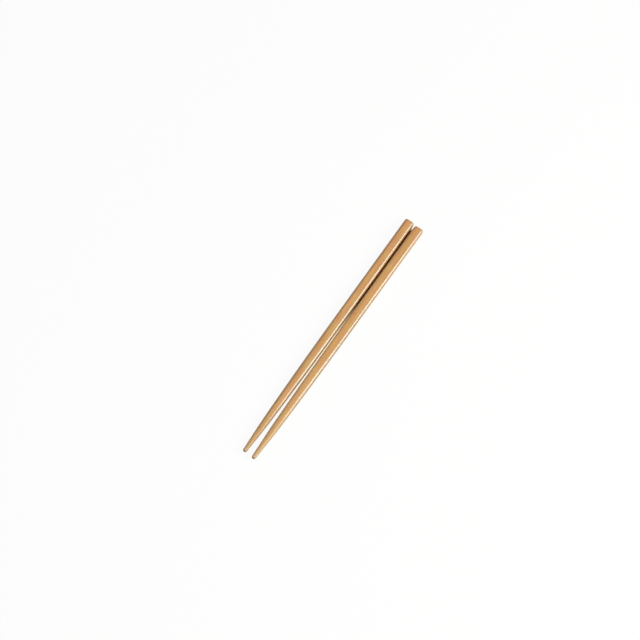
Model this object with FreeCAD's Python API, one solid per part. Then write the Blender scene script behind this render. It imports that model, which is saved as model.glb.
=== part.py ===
import FreeCAD, Part
import math
import os

# A pair of bamboo chopsticks lying side by side, all sizes in millimetres.
# Each stick is one piece of bamboo: a square handle with rounded long edges, and a
# front that tapers while its four flats shrink away, so that the tip is round.
# +Y runs from the tips to the butts, +X points to the right stick, +Z is up.
# The origin is the middle of the pair on the surface that it lies on.

# The whole stick
LENGTH = 210.0          # tip to butt
HANDLE_WIDTH = 7.2      # across the flats of the handle, both ways
EDGE_ROUND = 2.1        # radius of the handle's four long edges
BUTT_ROUND = 1.2        # radius around the butt end

# The tapering front: distance from the tip, width across the stick, width of a flat
FRONT = [
    (0.0, 3.0, 0.3),
    (5.0, 3.4, 0.5),
    (15.0, 4.4, 0.8),
    (33.0, 5.65, 1.2),
    (55.0, 6.45, 1.8),
    (80.0, 6.95, 2.5),
]
HANDLE_START = 110.0    # distance from the tip to the straight handle
TIP_ROUND = 1.2         # radius around the tip's end

# How the two sticks lie
TIP_SPACING = 7.85      # between the middles of the tips
BUTT_SPACING = 8.5      # between the middles of the butts
RIGHT_LEAD = 0.6        # how far the right stick lies ahead, on the tip side

HALF_CORNER = math.pi / 4       # each round corner is drawn in two halves
STICK_AXIS = FreeCAD.Vector(0, 1, 0)
UP = FreeCAD.Vector(0, 0, 1)
CENTRE = FreeCAD.Vector(0, 0, 0)


def section(distance, width, flat):
    """Outline of the stick across its length: four flats joined by four round corners."""
    corner = (width - flat) / 2
    outline = []
    for quarter in range(4):
        def point(across, up):
            across, up = [(across, up), (-up, across), (-across, -up), (up, -across)][quarter]
            return FreeCAD.Vector(across, distance, up)

        def on_corner(angle):
            return point(flat / 2 + corner * math.cos(angle), flat / 2 + corner * math.sin(angle))

        outline.append(Part.makeLine(point(width / 2, -flat / 2), on_corner(0)))
        for start in (0, HALF_CORNER):
            arc = Part.Arc(
                on_corner(start), on_corner(start + HALF_CORNER / 2), on_corner(start + HALF_CORNER)
            )
            outline.append(arc.toShape())
    return Part.Wire(outline)


def end_face(solid, side):
    """The face farthest along the stick: side is -1 towards the tip, 1 towards the butt."""
    return max(solid.Faces, key=lambda face: side * face.CenterOfMass.y)


def chopstick():
    """One stick on its own axis, tip at the origin."""
    handle_section = section(HANDLE_START, HANDLE_WIDTH, HANDLE_WIDTH - 2 * EDGE_ROUND)

    # The front is shaved evenly to its outline, then the end of the tip is rounded
    front = Part.makeLoft([section(*station) for station in FRONT] + [handle_section], True)
    front = front.makeFillet(TIP_ROUND, end_face(front, -1).Edges)

    # The handle is a plain bar, and the rim of its butt is rounded too
    handle = Part.Face(handle_section).extrude(STICK_AXIS * (LENGTH - HANDLE_START))
    handle = handle.makeFillet(BUTT_ROUND, end_face(handle, 1).Edges)
    return front.fuse(handle).Solids[0]


def laid_down(side, tip_distance):
    """A stick on its handle's lower flat: side is -1 for the left one, 1 for the right."""
    stick = chopstick()
    stick.translate(UP * HANDLE_WIDTH / 2)
    opening = math.degrees(math.asin((BUTT_SPACING - TIP_SPACING) / 2 / LENGTH))
    stick.rotate(CENTRE, UP, -side * opening)
    stick.translate(FreeCAD.Vector(side * TIP_SPACING / 2, tip_distance, 0))
    return stick


front_end = -(LENGTH + RIGHT_LEAD) / 2
pieces = {
    "left_chopstick": laid_down(-1, front_end + RIGHT_LEAD),
    "right_chopstick": laid_down(1, front_end),
}

os.makedirs("parts", exist_ok=True)
for name, piece in pieces.items():
    piece.exportStep(f"parts/{name}.step")
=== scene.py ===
import bpy
import math
from mathutils import Matrix, Vector


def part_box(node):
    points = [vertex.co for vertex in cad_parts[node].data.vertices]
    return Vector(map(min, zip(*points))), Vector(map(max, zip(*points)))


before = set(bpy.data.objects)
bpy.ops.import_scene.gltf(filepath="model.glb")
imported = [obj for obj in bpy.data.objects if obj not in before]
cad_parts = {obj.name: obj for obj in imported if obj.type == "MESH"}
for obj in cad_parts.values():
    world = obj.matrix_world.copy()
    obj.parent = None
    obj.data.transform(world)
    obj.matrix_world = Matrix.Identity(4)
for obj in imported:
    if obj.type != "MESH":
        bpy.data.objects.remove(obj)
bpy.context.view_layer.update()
scene = bpy.context.scene
scene.view_settings.view_transform = "Standard"


# The two sticks
# Each is one length of carbonised bamboo, planed square, shaved down to a round tip, sanded and
# coated with clear lacquer. The fibres run the whole way from butt to tip.

class Shade:
    """A value that changes over the surface; arithmetic on it adds Math nodes."""

    def __init__(self, finish, socket):
        self.finish = finish
        self.socket = socket

    def math(self, operation, *values):
        return self.finish.node("ShaderNodeMath", {"operation": operation}, dict(enumerate(values)))

    def __add__(self, other):
        return self.math("ADD", self, other)

    def __radd__(self, other):
        return self.math("ADD", other, self)

    def __sub__(self, other):
        return self.math("SUBTRACT", self, other)

    def __rsub__(self, other):
        return self.math("SUBTRACT", other, self)

    def __mul__(self, other):
        return self.math("MULTIPLY", self, other)

    def __rmul__(self, other):
        return self.math("MULTIPLY", other, self)

    def __truediv__(self, other):
        return self.math("DIVIDE", self, other)

    def __rpow__(self, other):
        return self.math("POWER", other, self)

    def __abs__(self):
        return self.math("ABSOLUTE", self)

    def between(self, low, high):
        """0 below low, 1 above high and a smooth rise between them."""
        sockets = {"Value": self, "From Min": low, "From Max": high}
        return self.finish.node("ShaderNodeMapRange", {"interpolation_type": "SMOOTHSTEP"}, sockets)


class Nodes:
    """A node tree, with one method that adds any node to it."""

    def __init__(self, tree):
        self.tree = tree

    def node(self, kind, settings, sockets, output=0):
        made = self.tree.nodes.new(kind)
        for name, value in settings.items():
            setattr(made, name, value)
        for name, value in sockets.items():
            self.feed(made, name, value)
        return Shade(self, made.outputs[output])

    def feed(self, target, name, value):
        if isinstance(value, Shade):
            self.tree.links.new(value.socket, target.inputs[name])
        else:
            target.inputs[name].default_value = value

    def mix(self, share, first, second):
        return self.node("ShaderNodeMix", {"data_type": "RGBA"}, {0: share, 6: first, 7: second}, 2)


class Finish(Nodes):
    """A material under a plain name."""

    def __init__(self, name):
        self.material = bpy.data.materials.new(name)
        self.material.use_nodes = True
        super().__init__(self.material.node_tree)
        self.shader = self.tree.nodes["Principled BSDF"]

    def place(self):
        """The point on the piece, and how far it lies across and along, in metres."""
        place = self.node("ShaderNodeTexCoord", {}, {}, 3)
        across = self.node("ShaderNodeSeparateXYZ", {}, {0: place}, 0)
        along = self.node("ShaderNodeSeparateXYZ", {}, {0: place}, 1)
        return place, across, along


def colour(red, green, blue):
    """A picture colour, 0 to 255, as the linear colour that a shader takes."""
    def linear(level):
        level = level / 255
        return level / 12.92 if level <= 0.04045 else ((level + 0.055) / 1.055) ** 2.4

    return (linear(red), linear(green), linear(blue), 1)


HALF_TIP = 0.0015           # half the width of a stick at its tip
TAPER = 0.0229              # the distance over which half of the widening that is left is done

PALE_STRAND = colour(226, 178, 122)
DARK_STRAND = colour(168, 112, 60)
FINE_FIBRE = colour(150, 98, 52)
FIBRE_BUNDLE = colour(118, 74, 38)
GOLDEN_PATCH = colour(203, 162, 60)
ROSY_PATCH = colour(212, 128, 56)
PAINTED_SHEEN = colour(180, 151, 110)
PAINTED_RIM_LIGHT = colour(226, 186, 134)
PAINTED_SIDE_SHADE = colour(120, 95, 34)
PAINTED_BUTT_SHADE = colour(150, 98, 38)
PALE_FRONT = colour(204, 168, 116)
PALEST_TIP = colour(206, 184, 148)
END_GRAIN_AND_SHADE = colour(44, 32, 22)
END_GRAIN_BUNDLE = colour(38, 24, 14)


def bamboo(name, low, high, caramel, amber, pale_share, cut, shade_both_sides):
    """Lacquered bamboo for a stick that reaches from low to high, its box's corners."""
    finish = Finish(name)
    place, across, along = finish.place()
    from_tip = along - low.y
    from_butt = high.y - along

    def fibres(width, length, detail, seed):
        """Streaks of a width and a length, in metres."""
        stretched = finish.node(
            "ShaderNodeMapping", {},
            {"Vector": place, "Location": (seed, seed, cut), "Scale": (1 / width, 1 / length, 1 / width)},
        )
        return finish.node(
            "ShaderNodeTexNoise", {},
            {"Vector": stretched, "Scale": 1, "Detail": detail, "Roughness": 0.55},
        )

    strands = fibres(0.0011, 0.060, 3, 7.7)
    fine = fibres(0.00032, 0.018, 2, 12.3)
    bundle_place = finish.node(
        "ShaderNodeMapping", {},
        {"Vector": place, "Location": (cut, 0.4, 1.7), "Scale": (1400, 22, 1400)},
    )
    cells = finish.node(
        "ShaderNodeTexVoronoi", {"feature": "F1"},
        {"Vector": bundle_place, "Scale": 1, "Randomness": 1},
    )
    bundle = 1 - cells.between(0.10, 0.34)

    # Broad caramel and amber bands, with soft patches where the steam took a little more or less
    broad = fibres(0.0045, 0.055, 2, 3.1)
    golden = fibres(0.0042, 0.013, 1, 31.7).between(0.46, 0.64)
    rosy = fibres(0.0036, 0.011, 1, 44.2).between(0.48, 0.66)
    tone = finish.mix(broad.between(0.36, 0.66), caramel, amber)
    tone = finish.mix(golden * 0.58, tone, GOLDEN_PATCH)
    tone = finish.mix(rosy * 0.58, tone, ROSY_PATCH)

    # Pale and dark strands, fine fibres and the darker bundles that carried the sap
    tone = finish.mix(strands.between(0.42, 0.72) * 0.42, tone, PALE_STRAND)
    tone = finish.mix((1 - strands.between(0.30, 0.52)) * 0.34, tone, DARK_STRAND)
    tone = finish.mix(fine.between(0.50, 0.78) * 0.35, tone, FINE_FIBRE)
    tone = finish.mix(bundle * 0.30, tone, FIBRE_BUNDLE)

    # How far a point lies from the stick's middle, -1 at its left side and 1 at its right side
    half_handle = (high.z - low.z) / 2
    half_width = half_handle - (half_handle - HALF_TIP) * 0.5 ** (from_tip / TAPER)
    aside = (across - (low.x + high.x) / 2) / half_width

    # Painted sheen: the top turns paler and duller towards the right, where the lacquer begins
    # to reflect the side lamp.
    tone = finish.mix(aside.between(-0.15, 0.50) * 0.40, tone, PAINTED_SHEEN)
    # Painted shade darkens the rounded sides: the right side of each stick and, on the left stick, the
    # left side too, less so towards the butt.
    if shade_both_sides:
        side_shade = abs(aside).between(0.32, 0.96)
    else:
        side_shade = aside.between(0.32, 0.96)
        # Painted light lifts the right stick's left side, next to the gap.
        tone = finish.mix((1 - aside.between(-0.95, -0.45)) * 0.80, tone, PAINTED_RIM_LIGHT)
    tone = finish.mix(side_shade * (0.72 - from_tip.between(0.110, 0.190) * 0.42), tone, PAINTED_SIDE_SHADE)

    # Painted shade darkens each stick towards the butt, to even out the side lamp, which lights the
    # butts more. The front is paler, and the tip palest.
    tone = finish.mix(from_tip.between(0.110, 0.200) * 0.15, tone, PAINTED_BUTT_SHADE)
    pale = 1 - from_tip.between(0.005, 0.110)
    tone = finish.mix(pale * pale_share, tone, PALE_FRONT)
    tone = finish.mix((1 - from_tip.between(0.000, 0.014)) * 0.30, tone, PALEST_TIP)

    # Both ends are dark: the end grain drinks the stain, and painted shade darkens the ends, which
    # face away from the light.
    end_grain_and_shade = (1 - from_tip.between(0.00010, 0.00042)) + (1 - from_butt.between(0.0002, 0.0011)) * 0.55
    tone = finish.mix(end_grain_and_shade, tone, END_GRAIN_AND_SHADE)
    tone = finish.mix(end_grain_and_shade * bundle * 0.7, tone, END_GRAIN_BUNDLE)
    finish.feed(finish.shader, "Base Color", tone)

    # The lacquer is thinner along worn fibres and towards the tip, and the ends soak it up
    worn = fibres(0.0006, 0.030, 2, 21.9)
    used = 1 - from_tip.between(0.005, 0.085)
    lacquer = (0.9 - worn.between(0.45, 0.75) * 0.25) * (1 - used * 0.60) * (1 - end_grain_and_shade)
    finish.feed(finish.shader, "Roughness", worn * 0.18 + 0.42 + used * 0.06 + end_grain_and_shade * 0.3)
    finish.feed(finish.shader, "Coat Weight", lacquer)
    finish.shader.inputs["Specular IOR Level"].default_value = 0.35
    finish.shader.inputs["Coat Roughness"].default_value = 0.32
    finish.shader.inputs["Coat IOR"].default_value = 1.80
    relief = fine * 0.5 + strands * 0.5 - bundle * 0.3
    raised = finish.node("ShaderNodeBump", {}, {"Strength": 0.05, "Distance": 0.0002, "Height": relief})
    finish.feed(finish.shader, "Normal", raised)
    return finish.material


# For each stick: its two base tones, how pale its front is, where its blank was cut from the
# cane, and whether painted shade darkens both of its sides
blanks = {
    "left_chopstick": (colour(198, 134, 46), colour(194, 130, 45), 0.36, 0.0, True),
    "right_chopstick": (colour(202, 142, 56), colour(203, 143, 58), 0.50, 5.3, False),
}
for name, blank in blanks.items():
    low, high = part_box(name)
    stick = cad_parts[name]
    stick.data.materials.clear()
    stick.data.materials.append(bamboo(name + "_bamboo", low, high, *blank))


# The table
# A plain matt white top, flat and much larger than the sticks, which lie loose on it. It carries
# painted warm light between the sticks and a painted near-black shadow deep between their
# handles, where no light gets in.
TABLE_SIZE = 12
TABLE_GLOW = 0.93                   # how much of its own shadow the white table hides
TABLE_WHITE = (0.90, 0.90, 0.90, 1)
WHITE = (1, 1, 1, 1)
BLACK = (0, 0, 0, 1)
PAINTED_WARM_LIGHT = colour(254, 232, 192)
PAINTED_CREVICE_SHADOW = colour(46, 16, 3)

bpy.ops.object.select_all(action="DESELECT")
bpy.ops.mesh.primitive_plane_add(size=TABLE_SIZE, location=(0, 0, 0))
table = bpy.context.object
table.name = "table_top"

white = Finish("white_table")
white.shader.inputs["Roughness"].default_value = 0.9
white.shader.inputs["Specular IOR Level"].default_value = 0.1
white.shader.inputs["Base Color"].default_value = TABLE_WHITE

# The strip between the sticks, which ends just short of the butts
place, across, along = white.place()
strip = (1 - abs(across).between(0.003, 0.005)) * (1 - along.between(0.103, 0.105))
# Painted near-black shadow in the crevice deep between the handles
crevice_shadow = strip * along.between(0.000, 0.036) * (1 - along.between(0.1005, 0.1045))
# Painted warm light along the strip, as if bounced between the sticks
tint = white.mix(strip * along.between(-0.080, 0.030), WHITE, PAINTED_WARM_LIGHT)
tint = white.mix(crevice_shadow, tint, PAINTED_CREVICE_SHADOW)


def seen(tree):
    """1 where the camera looks, straight, in a reflection or through glass, and 0 for light."""
    straight = tree.node("ShaderNodeLightPath", {}, {}, 0)
    in_gloss = tree.node("ShaderNodeLightPath", {}, {}, 3)
    through_glass = tree.node("ShaderNodeLightPath", {}, {}, 6)
    return straight + in_gloss + through_glass


lit = Shade(white, white.shader.outputs[0])
glow = white.node(
    "ShaderNodeBsdfPrincipled", {},
    {"Base Color": BLACK, "Specular IOR Level": 0, "Emission Color": tint, "Emission Strength": 1},
)
surface = white.node("ShaderNodeMixShader", {}, {0: seen(white) * TABLE_GLOW, 1: lit, 2: glow})
white.feed(white.tree.nodes["Material Output"], "Surface", surface)
table.data.materials.append(white.material)


# The light
# A white room gives a low even light. A warm soft box stands at the right and draws the bright
# line along each stick's right edge, and a larger one above the tips' side lights the pair evenly.
AMBIENT = 0.18                      # light from all round, where white is 1

world = bpy.data.worlds.new("studio")
scene.world = world
world.use_nodes = True
room = Nodes(world.node_tree)
background = room.tree.nodes["Background"]
background.inputs["Color"].default_value = WHITE
room.feed(background, "Strength", AMBIENT + seen(room) * (1 - AMBIENT))


def soft_box(name, place, width, length, watts, tint):
    """An area lamp at a place, facing the sticks, its length along them."""
    lamp = bpy.data.lights.new(name, "AREA")
    lamp.color = tint
    lamp.shape = "RECTANGLE"
    lamp.size = width
    lamp.size_y = length
    lamp.energy = watts
    holder = bpy.data.objects.new(name, lamp)
    away = Vector(place).normalized()
    lengthwise = (Vector((0, 1, 0)) - away * away.y).normalized()
    sideways = lengthwise.cross(away)
    turn = Matrix((sideways, lengthwise, away)).transposed().to_4x4()
    holder.matrix_world = Matrix.Translation(place) @ turn
    scene.collection.objects.link(holder)


soft_box("side_box", place=(0.71, 0.28, 0.62), width=0.60, length=0.30, watts=8.7, tint=(1.0, 0.98, 0.90))
soft_box("key_box", place=(0.05, -0.40, 1.00), width=0.90, length=0.90, watts=3.8, tint=(1, 1, 1))


# The camera
# A long lens looks steeply down on the pair from the tip side, turned a little to the right and
# tilted, so the sticks run from lower left to upper right.
AZIMUTH = math.radians(19)          # how far the camera is turned to the right
ELEVATION = math.radians(72)        # how steeply it looks down
ROLL = math.radians(16.06)          # how far it is tilted
DISTANCE = 3.155                    # from the camera to the pair
SENSOR = 0.036                      # width
LENS = 0.250                        # focal length
FAR_END = 20                        # how far the camera sees
MILLIMETRES = 1000                  # in a metre
FRAME_PIXELS = 640
PAIR_IN_FRAME = (332.3, 339.2)      # where the middle of the pair lies in the picture
PAIR_MIDDLE = Vector((0, 0, 0.0035))

toward_camera = Vector((
    math.sin(AZIMUTH) * math.cos(ELEVATION),
    -math.cos(AZIMUTH) * math.cos(ELEVATION),
    math.sin(ELEVATION),
))
level_right = Vector((math.cos(AZIMUTH), math.sin(AZIMUTH), 0))
level_up = toward_camera.cross(level_right)
picture_up = level_up * math.cos(ROLL) - level_right * math.sin(ROLL)
picture_right = level_right * math.cos(ROLL) + level_up * math.sin(ROLL)
metres_per_pixel = DISTANCE * SENSOR / LENS / FRAME_PIXELS
aim = (
    PAIR_MIDDLE
    - picture_right * (PAIR_IN_FRAME[0] - FRAME_PIXELS / 2) * metres_per_pixel
    + picture_up * (PAIR_IN_FRAME[1] - FRAME_PIXELS / 2) * metres_per_pixel
)

camera = bpy.data.objects.new("camera", bpy.data.cameras.new("camera"))
camera.data.sensor_width = SENSOR * MILLIMETRES
camera.data.lens = LENS * MILLIMETRES
camera.data.clip_end = FAR_END
view = Matrix((picture_right, picture_up, toward_camera)).transposed().to_4x4()
camera.matrix_world = Matrix.Translation(aim + toward_camera * DISTANCE) @ view
scene.collection.objects.link(camera)
scene.camera = camera
